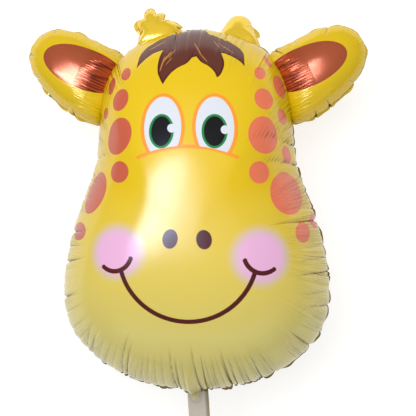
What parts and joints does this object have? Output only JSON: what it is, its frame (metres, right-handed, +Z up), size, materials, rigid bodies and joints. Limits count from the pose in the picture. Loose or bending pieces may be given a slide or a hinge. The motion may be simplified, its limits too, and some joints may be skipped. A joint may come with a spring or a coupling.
{
  "type": "giraffe head foil balloon",
  "caption": "Inflated giraffe head foil balloon: a pear-shaped pleated pillow with ears, horns and a flat filling neck, lying face up on its back.",
  "frame": {"origin": "centre of the bounding box in plan, on the floor under the balloon's back", "axes": "+Z up out of the face, +Y from the filling neck to the crown, +X towards the giraffe's left ear"},
  "size_m": [0.6246, 0.802, 0.313],
  "materials": {
    "foil": "satin metallic print"
  },
  "bodies": {
    "root": {"giraffe_balloon": "foil"}
  },
  "joints": []
}
